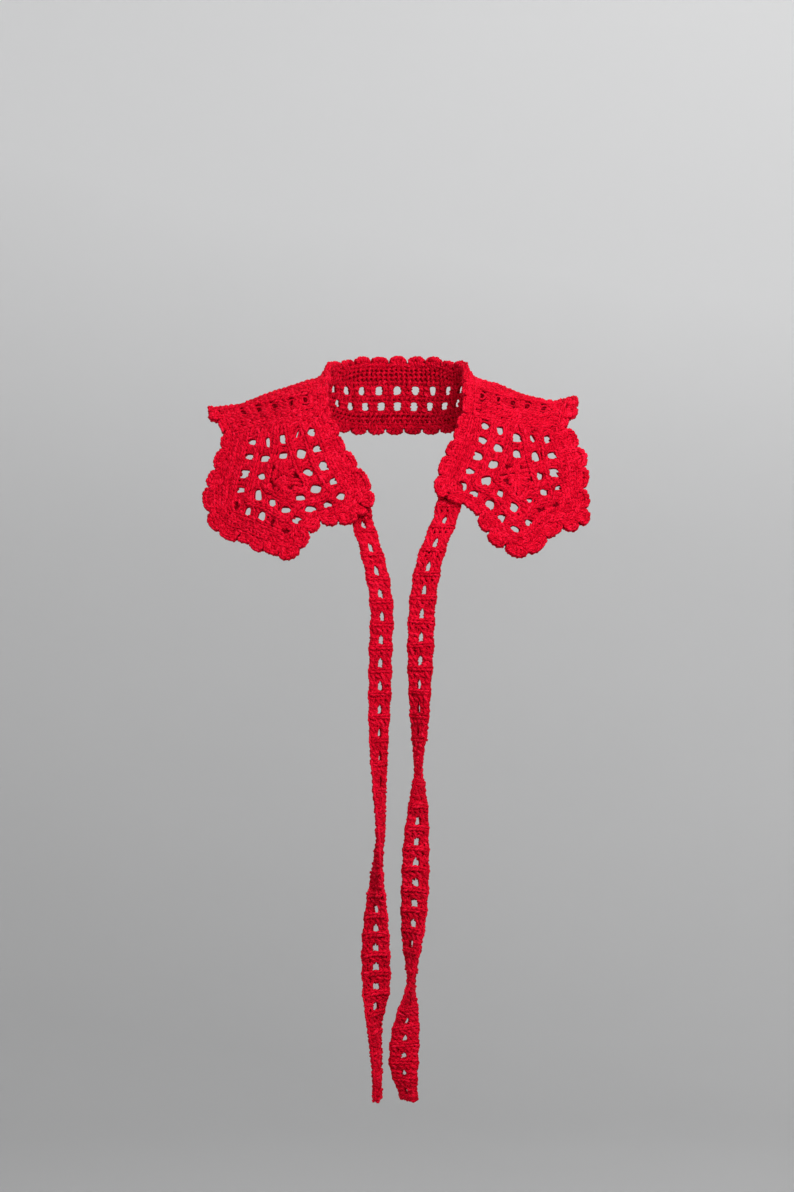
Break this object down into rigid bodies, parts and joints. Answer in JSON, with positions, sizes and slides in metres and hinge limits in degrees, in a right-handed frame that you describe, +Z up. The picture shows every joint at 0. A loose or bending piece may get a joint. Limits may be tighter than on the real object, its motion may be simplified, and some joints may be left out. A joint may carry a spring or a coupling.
{
  "type": "crocheted lace collar with ties",
  "caption": "Red crocheted lace collar, hollow as if worn, with pointed front panels, shell edging and two long hanging ties.",
  "frame": {"origin": "middle of the neck opening, level with the base of the wearer's neck", "axes": "+Z up, -Y towards the front of the wearer, +X to the right of someone who faces the collar's front"},
  "size_m": [0.3828, 0.2105, 0.7311],
  "materials": {
    "crochet_yarn": "bright red plied yarn, crocheted, matt with a soft fuzz"
  },
  "bodies": {
    "root": {"front_panel_left": "crochet_yarn", "front_panel_right": "crochet_yarn", "shoulder_band_left": "crochet_yarn", "shoulder_band_right": "crochet_yarn", "back_yoke": "crochet_yarn", "neck_edging": "crochet_yarn", "outer_edging_left": "crochet_yarn", "outer_edging_right": "crochet_yarn", "back_edging": "crochet_yarn", "tie_left": "crochet_yarn", "tie_right": "crochet_yarn"}
  },
  "joints": []
}
